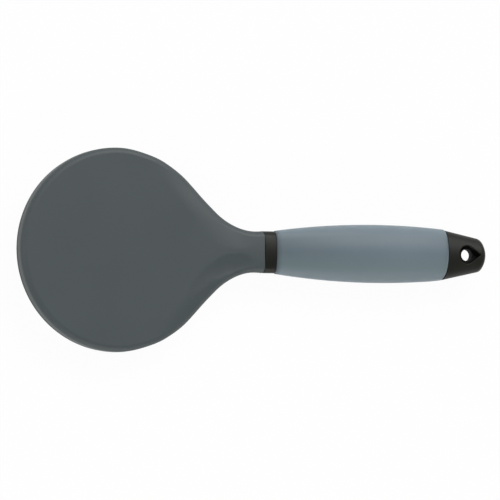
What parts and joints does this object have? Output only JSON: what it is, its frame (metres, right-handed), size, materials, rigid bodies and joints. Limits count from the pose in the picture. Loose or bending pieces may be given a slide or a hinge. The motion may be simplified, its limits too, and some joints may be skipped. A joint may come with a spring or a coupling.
{
  "type": "curry comb",
  "caption": "Round-headed grooming curry comb: rubber pad with rings of blunt teeth, smooth flat back, waisted neck, oval gel grip and an end cap with a hanging hole.",
  "frame": {"origin": "on the plane of the tooth tips, under the middle of the round head", "axes": "+X along the handle to its butt, +Z out of the smooth back, +Y to the side, the comb lying on its teeth"},
  "size_m": [0.285, 0.1174, 0.0258],
  "materials": {
    "soft_touch_grey": "soft-touch matt slate grey",
    "frame_plastic": "plain moulded plastic, hidden",
    "pad_rubber": "matt slate grey rubber",
    "black_plastic": "satin black plastic",
    "gel": "translucent blue-grey gel, satin",
    "core_plastic": "plain moulded plastic under the gel",
    "pin_steel": "plain steel pin, hidden"
  },
  "bodies": {
    "root": {"back_shell": "soft_touch_grey", "head_frame": "frame_plastic", "tooth_pad": "pad_rubber", "neck_collar": "black_plastic", "gel_sleeve": "gel", "grip_core_upper": "core_plastic", "grip_core_lower": "core_plastic", "end_cap": "black_plastic", "tang_pin": "pin_steel"}
  },
  "joints": []
}
